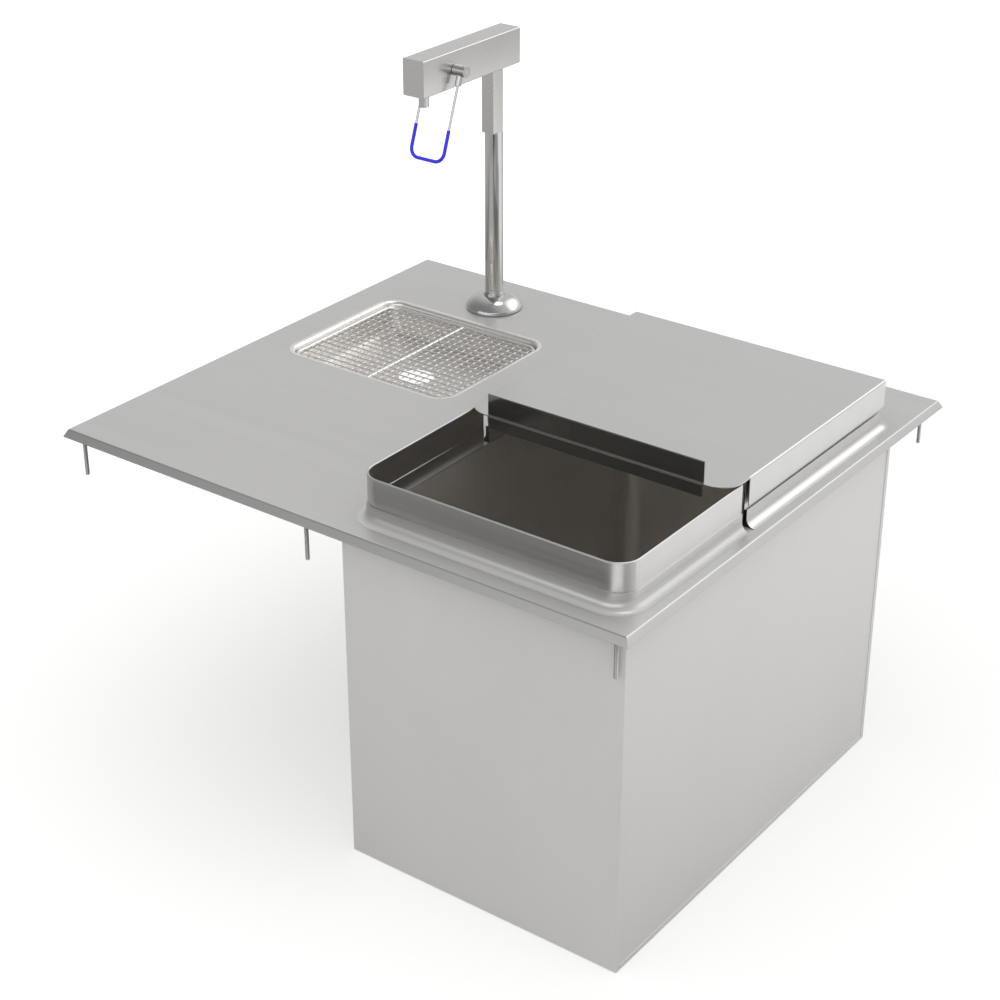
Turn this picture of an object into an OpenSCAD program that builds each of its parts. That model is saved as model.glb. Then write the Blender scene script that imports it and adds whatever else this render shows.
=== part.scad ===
// Drop-in ice bin and water station for a bar or server counter.
// A stainless worktop drops into a counter cut-out and carries an insulated ice bin with a
// raised coaming and a sliding lid, a drain pan with a lift-out wire grate, and a glass filler
// whose wire lever opens the water when a glass is pushed against it.
// Origin: centre of the footprint, on the underside of the bin's jacket. +X right, +Y back, +Z up.

/* [Worktop] */
// Width of the worktop's flat top
deck_w = 762; // [720:1:900]
// Depth of the worktop's flat top, front to back
deck_d = 660; // [650:1:760]
// Thickness of the worktop sheet
deck_sheet = 1.5; // [1:0.1:2.5]
// How far the edges turn down
edge_drop = 9.5; // [8:0.5:14]
// How far the turned-down edges lean outward at their lower end
edge_flare = 5; // [3:0.1:6]
// Radius of the fold along the worktop's edges
edge_bend_r = 2.5; // [2:0.1:3.5]
// Thickness of the hem folded up inside each edge
edge_hem = 3; // [2:0.1:3.5]

/* [Jacket] */
// Height from the jacket's underside to the worktop's upper face
jacket_h = 422; // [300:1:600]
// Thickness of the jacket sheets
jacket_sheet = 1; // [0.8:0.1:1.5]
// From the worktop's right edge to the jacket
jacket_right_margin = 8; // [6:1:10]
// From the worktop's front edge to the jacket
jacket_front_margin = 13; // [12:1:16]
// From the worktop's rear edge to the jacket
jacket_rear_margin = 100; // [60:1:130]
// How far the jacket reaches to the left of the coaming
jacket_left_out = 6; // [4:0.5:10]
// Width of the laps that the end panels fold on to the side panels
lap_w = 6; // [4:0.5:12]
// Width of the groove between a lap and the sheet beside it
lap_groove = 0.8; // [0.4:0.1:1.5]

/* [Coaming] */
// Width of the raised coaming over its outer faces
coaming_w = 339; // [300:1:380]
// Height of the coaming above the worktop
coaming_h = 53; // [45:1:70]
// Share of the coaming in the length of the coaming and the hood
coaming_share = 0.41; // [0.36:0.01:0.44]
// Radius of the coaming's front corners
coaming_r = 28; // [26:1:36]
// From the worktop's right edge to the coaming
coaming_right_margin = 21; // [18:1:24]
// From the worktop's front edge to the coaming
coaming_front_margin = 29.5; // [27:0.5:32]
// Height of the coaming's lower band
base_h = 20; // [14:0.5:26]
// Thickness of the folded lower band
base_wall = 4.5; // [4:0.1:6]
// Set-back of the upper band from the face of the lower band
rim_inset = 1.5; // [1:0.1:2.5]
// Thickness of the hemmed upper band
rim_wall = 2.4; // [1.6:0.1:2.8]
// Radius of the cove at the coaming's foot
foot_r = 10; // [3:0.5:12]
// Height of the cove's outer edge
foot_edge = 0.4; // [0.2:0.1:0.8]

/* [Ice bin liner] */
// From the liner's rear wall to the back of the jacket
liner_rear_gap = 14; // [12:0.5:30]
// Thickness of the liner sheet
liner_sheet = 1; // [0.8:0.1:1.5]
// Inside radius of the liner's upright corners
liner_r = 24; // [20:1:40]
// Inside radius between the liner's walls and floor
liner_floor_r = 12; // [6:1:18]
// Thickness of the foam under the liner
foam_floor = 24; // [18:1:50]
// Width of the liner's flange under the worktop
liner_flange_w = 6; // [4:0.5:7]
// Play between the foam and the liner
foam_play = 0.3; // [0.1:0.1:0.5]

/* [Bin drain] */
// Inside diameter of the drain sump
sump_d = 70; // [60:1:90]
// Depth of the drain sump
sump_depth = 5; // [4:0.5:8]
// Bore of the drain coupling
drain_bore_d = 30.2; // [24:0.1:34]
// Outside diameter of the drain coupling
drain_coupling_d = 42; // [38:0.5:48]
// Thickness of the strainer plate
strainer_sheet = 1.2; // [0.8:0.1:2]
// Diameter of the holes in the strainer plate
strainer_hole_d = 4; // [3:0.1:5]
// Number of holes in the strainer's inner ring
strainer_inner_n = 8; // [6:1:9]
// Number of holes in the strainer's outer ring
strainer_outer_n = 14; // [10:1:18]
// Diameter of the strainer's inner ring of holes
strainer_ring_d = 24; // [20:1:30]
// Play round the strainer plate
strainer_play = 0.6; // [0.3:0.1:1]
// Diameter of the strainer's lifting knob
strainer_knob_d = 12; // [8:0.5:14]
// Height of the strainer's lifting knob
strainer_knob_h = 10; // [6:0.5:16]

/* [Rear hood] */
// Gap between the coaming's ends and the rear hood
hood_gap = 9; // [6:0.5:12]
// How far the rear hood reaches past the back of the jacket
hood_overhang = 2; // [0:0.5:4]
// Thickness of the hood's sheet
hood_sheet = 1.2; // [0.8:0.1:1.5]
// Radius of the hood's rear corners
hood_r = 12; // [11:0.5:20]
// Radius of the fold round the hood's top
hood_bend_r = 4; // [2:0.5:5]
// Height of the stiffening flange along the hood's front edge
hood_lip_h = 10; // [6:0.5:16]

/* [Sliding lid] */
// From the open lid's rear edge to the back of the hood
lid_rear_gap = 2; // [1:0.5:6]
// How far the open lid reaches forward of the rear hood
lid_reach = 39; // [30:1:44]
// Thickness of the lid's sheet
lid_sheet = 1.2; // [1:0.1:1.3]
// Space between the coaming's rim and the underside of the lid
lid_lift = 2.8; // [2.4:0.1:4]
// Radius of the fold along the lid's sides
lid_bend_r = 2.5; // [2:0.1:2.8]
// Depth that the lid's side flanges hang below its top
lid_side_drop = 33; // [26:0.5:35]
// Depth that the lid's front flange hangs below its top
lid_front_drop = 16; // [10:0.5:20]
// Where the side flanges start, from the lid's front edge
lid_flange_start = 42; // [38:1:50]
// From the lid's side to the end of its front flange
lid_front_in = 33.5; // [32:0.5:50]
// Diameter of the hem along the lid's front edge
lid_nose_d = 3; // [2.4:0.1:4]
// Play between the lid and the coaming
lid_play = 0.3; // [0.2:0.1:0.4]
// Height of the pull above the lid
pull_h = 25; // [12:1:35]
// Thickness of the pull's sheet
pull_sheet = 1.5; // [1:0.1:2]
// From the lid's side to the end of the pull
pull_in = 31.5; // [31:0.5:50]
// Width of the slippery strips under the lid
glide_w = 9.5; // [7:0.5:14]
// Play between the strips and what they slide on
glide_play = 0.3; // [0.2:0.1:0.4]

/* [Drain pan] */
// Depth of the pan over its welded outline, front to back
pan_d = 214; // [160:1:220]
// From the worktop's left edge to the pan
pan_left_margin = 45; // [30:1:60]
// From the pan to the bin's jacket
pan_right_gap = 95; // [70:1:140]
// From the worktop's rear edge to the pan
pan_rear_margin = 135; // [125:1:160]
// Radius of the pan's corners
pan_r = 27; // [24:1:50]
// Thickness of the pan's sheet
pan_sheet = 1.2; // [0.8:0.1:1.5]
// Width of the flat margin round the pan
pan_margin = 2; // [1:0.5:3]
// Radius of the pan's rolled edge
pan_roll_r = 5; // [3:0.5:5]
// Depth of the ledge that carries the grate
pan_ledge_depth = 10; // [8:0.5:14]
// Width of the ledge that carries the grate
pan_ledge_w = 5; // [4:0.5:6]
// Inside depth of the pan
pan_depth = 40; // [30:1:70]
// Inside radius between the pan's walls and floor
pan_floor_r = 8; // [5:0.5:9]
// Diameter of the pan's drain hole
pan_hole_d = 44; // [38:0.5:60]

/* [Wire grate] */
// Diameter of the grate's border wire
grate_border_d = 5; // [4:0.5:6]
// Diameter of the grate's fine wires
grate_wire_d = 1.7; // [1.5:0.1:2.5]
// Diameter of the grate's middle rod
grate_rod_d = 4; // [3:0.1:4.5]
// Spacing of the fine wires
grate_pitch = 11; // [8:0.5:16]
// Play between the grate and the pan
grate_play = 0.6; // [0.3:0.1:1]
// How far the wires' ends are welded into the border
wire_sink = 0.8; // [0.4:0.1:1.2]

/* [Glass filler] */
// From the pan's rear edge to the middle of the pillar
pillar_gap = 55; // [50:1:75]
// Diameter of the pillar
pillar_d = 23; // [20:0.5:24]
// Diameter of the flange at the pillar's foot
flange_d = 72; // [60:1:80]
// Height of the flange at the pillar's foot
flange_h = 20; // [18:0.5:26]
// Height of the upright rim of the flange
flange_rim_h = 3; // [2:0.5:5]
// Diameter of the flange's neck
flange_neck_d = 27; // [26:0.5:32]
// Thickness of the gasket under the flange
gasket_t = 1; // [0.5:0.1:2]
// How far the gasket stays inside the flange
gasket_setback = 2; // [1:0.5:4]
// Height of the flange's neck above its dome
flange_neck_h = 3; // [2:0.5:5]
// Depth of the pillar in the flange
pillar_seat = 12; // [8:0.5:13]
// Depth of the shank in the flange
shank_seat = 6; // [4:0.5:7]
// Height of the head's top above the worktop
head_top = 360.5; // [300:0.5:420]
// Length of the head
head_l = 190; // [180:1:230]
// Width of the head
head_w = 31; // [29:0.5:36]
// Height of the head
head_h = 44.5; // [42:0.5:47]
// Wall thickness of the head
head_wall = 3; // [2.5:0.1:3.5]
// Radius along the head's long edges
head_edge_r = 1.5; // [0.8:0.1:2.5]
// From the middle of the pillar to the head's rear end
head_tail = 33; // [28:1:40]
// Width of the rectangular neck between the pillar and the head
neck_w = 18; // [17:0.5:24]
// Depth of the rectangular neck, front to back
neck_d = 21; // [21:0.5:24]
// How far the rectangular neck stands forward of the pillar's middle
neck_shift = 3; // [0:0.5:3]
// Length of the rectangular neck
neck_h = 81; // [60:1:110]
// Diameter of the spigots on the neck
spigot_d = 14; // [12:0.5:14.5]
// Length of the spigot that enters the pillar
spigot_l = 20; // [12:1:30]
// Play round a spigot, on the radius
spigot_play = 0.1; // [0.05:0.05:0.3]
// Radius along the neck's upright edges
neck_edge_r = 1; // [0.5:0.1:2]
// Length of the plug in the head's rear end
plug_l = 8; // [5:0.5:12]
// Diameter of the nozzle's threaded end
nozzle_thread_d = 9; // [8:0.5:10]
// Bore of the nozzle
nozzle_bore_d = 6; // [4:0.5:7]
// Bore of the water way
water_bore_d = 9; // [6:0.5:10]
// Diameter of the nozzle
nozzle_d = 12.5; // [11:0.5:15]
// How far the nozzle hangs below the head
nozzle_l = 16; // [12:1:24]
// From the head's front end to the middle of the nozzle
nozzle_setback = 19; // [16:1:24]

/* [Push lever] */
// From the head's front end to the lever's pivot
pivot_setback = 59; // [50:1:64]
// Height of the pivot above the head's underside
pivot_rise = 22; // [18:0.5:24]
// Diameter of the pivot shaft
shaft_d = 6; // [5:0.1:7]
// Running play round the shaft, on the radius
shaft_play = 0.05; // [0.02:0.01:0.1]
// Diameter of the hubs on the shaft
hub_d = 14; // [12:0.5:16]
// Length of each hub
hub_l = 17.5; // [9:0.5:20]
// Play between a hub and the side of the head
hub_play = 0.4; // [0.3:0.1:0.8]
// Diameter of the hub's tail, which holds the wire
tail_d = 8; // [7:0.5:9]
// How far the hub's tail reaches below the shaft
tail_l = 18; // [14:0.5:22]
// Diameter of the lever's wire
wire_d = 3.2; // [2.5:0.1:4]
// Depth of the wire in the hub's tail
wire_seat = 8; // [5:0.5:9]
// Length of the lever, from the shaft to the bottom of its loop
lever_l = 112; // [80:1:120]
// Radius of the loop's bends, on the wire's centre line
lever_bend_r = 12; // [8:0.5:16]
// Forward lean of the resting lever, in degrees
lever_lean = 20; // [5:0.1:25]
// Wall thickness of the coloured sleeve on the wire
sleeve_wall = 0.6; // [0.4:0.1:1]
// From the shaft down to where the sleeve starts
sleeve_start = 71; // [50:1:80]

/* [Valve] */
// Drop from the shaft to the valve stem's centre line
stem_drop = 7; // [5:0.5:8]
// Diameter of the valve stem
stem_d = 5; // [4:0.1:6]
// Running play round the stem, on the radius
stem_play = 0.08; // [0.03:0.01:0.1]
// Length of the valve stem
stem_l = 30; // [24:1:40]
// Thickness of the cam's finger
finger_t = 5; // [4:0.5:6]
// Diameter of the cam's boss
cam_boss_d = 10; // [8.5:0.5:10]
// Width of the cam
cam_w = 9; // [6:0.5:14]
// How far the cam's finger reaches below the shaft
finger_l = 11; // [9:0.5:12]
// Play between the cam's finger and the stem
finger_play = 0.3; // [0.2:0.1:0.4]
// Length of the valve block
valve_l = 46; // [36:1:60]
// Height of the valve block
valve_h = 22; // [20:0.5:26]
// Play between the valve block and the head's walls
valve_play = 0.2; // [0.1:0.1:0.4]
// From the shaft to the valve block
valve_gap = 14; // [12:0.5:18]

/* [Under the worktop] */
// Diameter of the supply shank's thread
shank_d = 24; // [22:0.1:26]
// Diameter of the thread at the shank's lower end, for the water hose
inlet_d = 21; // [19:0.1:21.5]
// Length of the thread at the shank's lower end
inlet_l = 20; // [14:0.5:24]
// Bore of the supply shank
shank_bore_d = 13; // [10:0.5:15]
// Play of the locknut on the thread, on the radius
nut_play = 0.1; // [0.05:0.05:0.2]
// How far the shank hangs below the worktop
shank_l = 62; // [50:1:90]
// Play round the shank in the worktop, on the radius
shank_play = 0.6; // [0.3:0.1:1]
// Width across the locknut's flats
locknut_af = 36; // [34:0.5:42]
// Thickness of the locknut
locknut_t = 8; // [6:0.5:10]
// Side of the square backing plate
backing_w = 90; // [70:1:110]
// Thickness of the backing plate
backing_t = 2; // [1.5:0.1:3]
// Width of the stiffening channels
channel_w = 30; // [20:1:40]
// Height of the stiffening channels
channel_h = 12; // [8:0.5:12]
// Thickness of the channels' sheet
channel_sheet = 1.5; // [1:0.1:2]
// Diameter of the hold-down studs
stud_d = 4.8; // [4:0.1:5.4]
// How far the studs hang below the worktop's sheet
stud_l = 55; // [40:1:70]
// From the worktop's edge to the studs' centres
stud_margin = 8; // [7:0.1:8.5]
// From the jacket's left side to the middle studs
stud_gap = 45; // [40:1:60]
// Diameter of the studs' weld bases
stud_base_d = 7; // [6:0.1:8]
// Thickness of the studs' weld bases
stud_base_t = 1.2; // [0.8:0.1:2]

/* [Hidden] */

// Smoothness of round faces
$fn = 72;
// Overrun of every cut past the face it opens
cut = 1;

// Colours of the finishes
brushed = [0.76, 0.76, 0.75];
satin = [0.70, 0.70, 0.69];
polished = [0.82, 0.82, 0.82];
foam_white = [0.93, 0.91, 0.84];
nylon_white = [0.92, 0.92, 0.90];
rubber_black = [0.12, 0.12, 0.12];
lever_blue = [0.16, 0.17, 0.87];
brass = [0.78, 0.62, 0.32];

// Levels of the worktop
deck_top = jacket_h;
deck_under = deck_top - deck_sheet;

// Slope of the worktop's edges off the vertical, where the fold starts, and how far it laps inward
edge_slope = atan(edge_flare / edge_drop);
edge_fold = edge_bend_r * tan((90 - edge_slope) / 2);
edge_lap = 2 * edge_bend_r;

// Size and places of the jacket
jacket_w = coaming_w + coaming_right_margin - jacket_right_margin + jacket_left_out;
jacket_d = deck_d - jacket_front_margin - jacket_rear_margin;
jacket_x = deck_w / 2 - jacket_right_margin - jacket_w / 2;
jacket_y = -deck_d / 2 + jacket_front_margin + jacket_d / 2;
jacket_rear_y = jacket_y + jacket_d / 2;

// Sizes and places of the coaming, the bin opening and the hood
bin_x = deck_w / 2 - coaming_right_margin - coaming_w / 2;
coaming_y = -deck_d / 2 + coaming_front_margin;
hood_rear_y = jacket_rear_y + hood_overhang;
coaming_d = coaming_share * (hood_rear_y - coaming_y);
hood_front_y = coaming_y + coaming_d + hood_gap;
hood_d = hood_rear_y - hood_front_y;
hood_inset = base_wall - hood_sheet;
mouth_w = coaming_w - 2 * base_wall;
liner_d = jacket_rear_y - liner_rear_gap - coaming_y - base_wall;
mouth_y = coaming_y + base_wall + liner_d / 2;
rim_top = deck_top + coaming_h;

// Levels of the liner
liner_w = mouth_w + 2 * liner_sheet;
liner_floor_z = jacket_sheet + foam_floor;
liner_outer_r = liner_r + liner_sheet;
liner_floor_outer_r = liner_floor_r + liner_sheet;
sump_z = liner_floor_z - sump_depth;

// Sizes and places of the lid
lid_d = hood_d + lid_reach - lid_rear_gap;
lid_front_w = coaming_w - 2 * lid_front_in;
pull_w = coaming_w - 2 * pull_in;
lid_under = rim_top + lid_lift;
lid_top = lid_under + lid_sheet;
lid_open_y = hood_front_y - lid_reach;
front_flange_y = lid_nose_d / 2;
lid_stop_y = coaming_y + rim_inset + rim_wall + lid_play;
lid_travel = lid_open_y + front_flange_y - lid_stop_y;

// Sizes and places of the pan and the grate
pan_w = deck_w - pan_left_margin - pan_right_gap - jacket_w - jacket_right_margin;
pan_x = -deck_w / 2 + pan_left_margin + pan_w / 2;
pan_y = deck_d / 2 - pan_rear_margin - pan_d / 2;
pan_wall_in = pan_margin + pan_roll_r;
pan_ledge_in = pan_wall_in + pan_ledge_w;
pan_floor_in = pan_ledge_in + pan_floor_r;
grate_w = pan_w - 2 * (pan_wall_in + grate_play);
grate_d = pan_d - 2 * (pan_wall_in + grate_play);
grate_r = pan_r - pan_wall_in - grate_play;
grate_z = deck_top - pan_ledge_depth + grate_border_d / 2;
long_wire_z = grate_z + grate_wire_d / 2;
cross_wire_z = grate_z - grate_wire_d / 2;
rod_half = grate_d / 2 - grate_border_d + wire_sink;

// Places of the filler
filler_y = pan_y + pan_d / 2 + pillar_gap;
flange_z = deck_top + gasket_t;
socket_floor_z = flange_z + flange_h - pillar_seat;
shank_top_z = flange_z + shank_seat;
head_z = deck_top + head_top - head_h;
neck_z = head_z - neck_h;
head_rear_y = filler_y + head_tail;
head_front_y = head_rear_y - head_l;
nozzle_y = head_front_y + nozzle_setback;
pivot_y = head_front_y + pivot_setback;
pivot_z = head_z + pivot_rise;
hub_x = head_w / 2 + hub_play;
arm_x = hub_x + hub_l / 2;
cavity_z = head_z + head_wall;
stem_z = pivot_z - stem_drop;
stem_y = pivot_y + finger_t / 2 + finger_play;
valve_y = pivot_y + valve_gap;

// Rectangle w by d about the origin with round corners
module round_rect(w, d, r) {
    square([w - 2 * r, d], center = true);
    square([w, d - 2 * r], center = true);
    for (sx = [-1, 1], sy = [-1, 1])
        translate([sx * (w / 2 - r), sy * (d / 2 - r)])
            circle(r);
}

// Quarter ring about the origin, in the quadrant that the signs pick
module quarter_bend(r_out, r_in, sx, sy) {
    intersection() {
        difference() {
            circle(r_out);
            circle(r_in);
        }
        translate([min(0, sx * r_out), min(0, sy * r_out)])
            square(r_out);
    }
}

// Sweeps a profile round a rounded rectangle: x = 0 on the outline, x < 0 inside it
module ring_sweep(w, d, r) {
    for (i = [0 : 3])
        let (half = i % 2 == 0 ? [w / 2, d / 2] : [d / 2, w / 2])
            rotate([0, 0, 90 * i]) {
                translate([half.x - r, half.y - r, 0])
                    rotate_extrude(angle = 90)
                        translate([r, 0])
                            children();
                translate([half.x, 0, 0])
                    rotate([90, 0, 0])
                        linear_extrude(2 * (half.y - r), center = true)
                            children();
            }
}

// Sweeps a profile round a rectangle with mitred corners; reach is more than the profile's extent
module mitred_frame(w, d, reach) {
    for (i = [0 : 3])
        let (half = i % 2 == 0 ? [w / 2, d / 2] : [d / 2, w / 2])
            rotate([0, 0, 90 * i])
                intersection() {
                    translate([half.x, 0, 0])
                        rotate([90, 0, 0])
                            linear_extrude(2 * (half.y + reach), center = true)
                                children();
                    linear_extrude(2 * reach, center = true)
                        polygon([
                            [half.x - reach, reach - half.y],
                            [half.x + reach, -half.y - reach],
                            [half.x + reach, half.y + reach],
                            [half.x - reach, half.y - reach]
                        ]);
                }
}

// Sweeps a profile round three sides, open at the back: the front outline lies on y = 0
module u_sweep(w, d, r) {
    for (side = [0, 1])
        mirror([side, 0, 0]) {
            translate([w / 2 - r, r, 0])
                rotate([0, 0, -90])
                    rotate_extrude(angle = 90)
                        translate([r, 0])
                            children();
            translate([w / 2, d, 0])
                rotate([90, 0, 0])
                    linear_extrude(d - r)
                        children();
        }
    rotate([90, 0, -90])
        linear_extrude(w - 2 * r, center = true)
            children();
}

// Worktop sheet with folded and hemmed edges and its cut-outs
module worktop() {
    color(brushed) {
        translate([0, 0, deck_under])
            linear_extrude(deck_sheet)
                difference() {
                    square([deck_w - 2 * edge_lap, deck_d - 2 * edge_lap], center = true);
                    translate([bin_x, mouth_y])
                        round_rect(mouth_w, liner_d, liner_r);
                    translate([pan_x, pan_y])
                        round_rect(pan_w, pan_d, pan_r);
                    translate([pan_x, filler_y])
                        circle(d = shank_d + 2 * shank_play);
                }
        translate([0, 0, deck_top])
            mitred_frame(deck_w, deck_d, 2 * edge_drop)
                edge_profile();
    }
}

// Distance from the worktop's outline to a point z high and t deep in its sloping edge
function slope_x(z, t) = -z * tan(edge_slope) - t / cos(edge_slope);

// Fold, sloping side and hem of the worktop's edge: the flat top's outline is at the origin
module edge_profile() {
    bend_in = edge_bend_r - deck_sheet;
    outward = [cos(edge_slope), sin(edge_slope)];
    centre = [-edge_fold, -edge_bend_r];
    hem_z = -2 * edge_bend_r;
    far = 2 * edge_bend_r;
    translate([-edge_fold - edge_lap, -deck_sheet])
        square([edge_lap, deck_sheet]);
    translate(centre)
        intersection() {
            difference() {
                circle(edge_bend_r);
                circle(bend_in);
            }
            polygon([[0, 0], far * outward, [far, far], [0, far]]);
        }
    polygon([
        centre + edge_bend_r * outward,
        [edge_flare, -edge_drop],
        [slope_x(-edge_drop, edge_hem), -edge_drop],
        [slope_x(hem_z, edge_hem), hem_z],
        [slope_x(hem_z, deck_sheet), hem_z],
        centre + bend_in * outward
    ]);
}

// Channels welded under the open part of the worktop
module worktop_channels() {
    left_x = -deck_w / 2 + pan_left_margin;
    gap_x = (pan_x + pan_w / 2 + jacket_x - jacket_w / 2) / 2;
    front_y = (pan_y - pan_d / 2 - deck_d / 2) / 2;
    color(satin) {
        translate([gap_x, 0, 0])
            channel(deck_d - 2 * channel_w);
        translate([(left_x + gap_x - channel_w / 2) / 2, front_y, 0])
            rotate([0, 0, 90])
                channel(gap_x - channel_w / 2 - left_x);
    }
}

// One channel along Y, its open side against the worktop
module channel(length) {
    translate([0, length / 2, deck_under])
        rotate([90, 0, 0])
            linear_extrude(length)
                difference() {
                    translate([-channel_w / 2, -channel_h])
                        square([channel_w, channel_h]);
                    translate([-channel_w / 2 + channel_sheet, -channel_h + channel_sheet])
                        square([channel_w - 2 * channel_sheet, channel_h]);
                }
}

// Studs that clamp the worktop down, welded along its edges
module hold_down_studs() {
    left_x = -deck_w / 2 + 2 * stud_margin;
    right_x = deck_w / 2 - 2 * stud_margin;
    middle_x = jacket_x - jacket_w / 2 - stud_gap;
    edge_y = deck_d / 2 - stud_margin;
    color(satin) {
        for (x = [left_x, middle_x, right_x], y = [-edge_y, edge_y])
            translate([x, y, deck_under])
                stud();
        translate([left_x, 0, deck_under])
            stud();
    }
}

// One stud, hanging from the worktop's underside
module stud() {
    translate([0, 0, -stud_base_t])
        cylinder(h = stud_base_t, d = stud_base_d);
    translate([0, 0, -stud_l])
        cylinder(h = stud_l - stud_base_t, d = stud_d);
}

// Lower band of the coaming, with the cove that blends it into the worktop
module coaming_base() {
    color(brushed)
        translate([bin_x, coaming_y, deck_top])
            u_sweep(coaming_w, coaming_d, coaming_r)
                base_profile();
}

// Section of the lower band: its face lies on x = 0
module base_profile() {
    translate([-base_wall, 0])
        square([base_wall, base_h]);
    difference() {
        square([foot_r, foot_r + foot_edge]);
        translate([foot_r, foot_r + foot_edge])
            circle(foot_r);
    }
}

// Hemmed upper band of the coaming
module coaming_rim() {
    color(brushed)
        translate([bin_x, coaming_y, deck_top])
            u_sweep(coaming_w, coaming_d, coaming_r) {
                translate([-rim_inset - rim_wall, base_h])
                    square([rim_wall, coaming_h - base_h - rim_wall / 2]);
                translate([-rim_inset - rim_wall / 2, coaming_h - rim_wall / 2])
                    circle(d = rim_wall);
            }
}

// Fixed hood over the rear of the bin, open to the front and below
module rear_hood() {
    top_w = coaming_w - 2 * (hood_inset + hood_bend_r);
    color(brushed)
        translate([bin_x, hood_rear_y, deck_top])
            rotate([0, 0, 180]) {
                u_sweep(coaming_w, hood_d, hood_r) {
                    base_profile();
                    translate([-base_wall, base_h])
                        square([hood_sheet, coaming_h - base_h - hood_bend_r]);
                    translate([-hood_inset - hood_bend_r, coaming_h - hood_bend_r])
                        quarter_bend(hood_bend_r, hood_bend_r - hood_sheet, 1, 1);
                }
                translate([0, hood_inset + hood_bend_r, coaming_h - hood_sheet])
                    linear_extrude(hood_sheet)
                        front_round_rect(top_w, hood_d - hood_inset - hood_bend_r,
                            hood_r - hood_inset - hood_bend_r);
                translate([-top_w / 2, hood_d - hood_sheet, coaming_h - hood_lip_h])
                    cube([top_w, hood_sheet, hood_lip_h - hood_sheet / 2]);
            }
}

// Rectangle with its front edge on y = 0 and round front corners
module front_round_rect(w, d, r) {
    translate([-w / 2 + r, 0])
        square([w - 2 * r, d]);
    translate([-w / 2, r])
        square([w, d - r]);
    for (side = [-1, 1])
        translate([side * (w / 2 - r), r])
            circle(r);
}

// Inner tank that holds the ice
module bin_liner() {
    wall_h = deck_under - liner_floor_z;
    color(satin)
        translate([bin_x, mouth_y, 0])
            difference() {
                union() {
                    translate([0, 0, liner_floor_z])
                        ring_sweep(liner_w, liner_d + 2 * liner_sheet, liner_outer_r)
                            liner_profile(wall_h);
                    translate([0, 0, liner_floor_z])
                        linear_extrude(liner_sheet)
                            round_rect(liner_w - 2 * liner_floor_outer_r,
                                liner_d + 2 * liner_sheet - 2 * liner_floor_outer_r,
                                liner_outer_r - liner_floor_outer_r);
                    translate([0, 0, sump_z])
                        cylinder(h = sump_depth + liner_sheet, d = sump_d + 2 * liner_sheet);
                }
                translate([0, 0, sump_z + liner_sheet])
                    cylinder(h = sump_depth + cut, d = sump_d);
                translate([0, 0, sump_z - cut])
                    cylinder(h = liner_sheet + 2 * cut, d = drain_bore_d);
            }
}

// Wall, top flange and floor bend of the liner: its outer face lies on x = 0
module liner_profile(wall_h) {
    translate([-liner_sheet, liner_floor_outer_r])
        square([liner_sheet, wall_h - liner_floor_outer_r]);
    translate([-liner_sheet, wall_h - liner_sheet])
        square([liner_flange_w + liner_sheet, liner_sheet]);
    translate([-liner_floor_outer_r, liner_floor_outer_r])
        quarter_bend(liner_floor_outer_r, liner_floor_r, 1, -1);
}

// Foam between the liner and the jacket
module foam_insulation() {
    inner_w = jacket_w - 4 * jacket_sheet;
    color(foam_white)
        difference() {
            translate([jacket_x - inner_w / 2, jacket_y - jacket_d / 2 + jacket_sheet, jacket_sheet])
                cube([inner_w, jacket_d - 2 * jacket_sheet, deck_under - liner_sheet - jacket_sheet]);
            translate([bin_x, mouth_y, liner_floor_z - foam_play])
                linear_extrude(jacket_h)
                    round_rect(liner_w + 2 * foam_play, liner_d + 2 * (liner_sheet + foam_play),
                        liner_outer_r + foam_play);
            translate([bin_x, mouth_y, sump_z - foam_play])
                cylinder(h = sump_depth + cut, d = sump_d + 2 * (liner_sheet + foam_play));
            translate([bin_x, mouth_y, -cut])
                cylinder(h = sump_z + cut, d = drain_coupling_d + 2 * foam_play);
        }
}

// Front or rear panel of the jacket, with a lap folded on to each side panel
module end_panel() {
    translate([jacket_x - jacket_w / 2, 0, jacket_sheet])
        cube([jacket_w, jacket_sheet, deck_under - jacket_sheet]);
    for (side = [0, 1])
        translate([jacket_x, 0, jacket_sheet])
            mirror([side, 0, 0])
                translate([jacket_w / 2 - jacket_sheet, 0, 0])
                    cube([jacket_sheet, lap_w, deck_under - jacket_sheet]);
}

module front_panel() {
    color(brushed)
        translate([0, jacket_y - jacket_d / 2, 0])
            end_panel();
}

module rear_panel() {
    color(brushed)
        translate([0, jacket_rear_y, 0])
            mirror([0, 1, 0])
                end_panel();
}

// Side panel, let in by its own thickness behind the laps
module side_panel() {
    translate([jacket_w / 2 - 2 * jacket_sheet, jacket_y - jacket_d / 2 + jacket_sheet, jacket_sheet])
        cube([jacket_sheet, jacket_d - 2 * jacket_sheet, deck_under - jacket_sheet]);
}

module right_panel() {
    color(brushed)
        translate([jacket_x, 0, 0])
            side_panel();
}

module left_panel() {
    color(brushed)
        translate([jacket_x, 0, 0])
            mirror([1, 0, 0])
                side_panel();
}

// Bottom of the jacket, with a lap up each side and a hole for the drain
module bottom_panel() {
    lap_d = jacket_d - 2 * (lap_w + lap_groove);
    color(brushed) {
        difference() {
            translate([jacket_x - jacket_w / 2, jacket_y - jacket_d / 2, 0])
                cube([jacket_w, jacket_d, jacket_sheet]);
            translate([bin_x, mouth_y, -cut])
                cylinder(h = jacket_sheet + 2 * cut, d = drain_coupling_d);
        }
        for (side = [0, 1])
            translate([jacket_x, jacket_y - lap_d / 2, 0])
                mirror([side, 0, 0])
                    translate([jacket_w / 2 - jacket_sheet, 0, 0])
                        cube([jacket_sheet, lap_d, lap_w]);
    }
}

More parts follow.
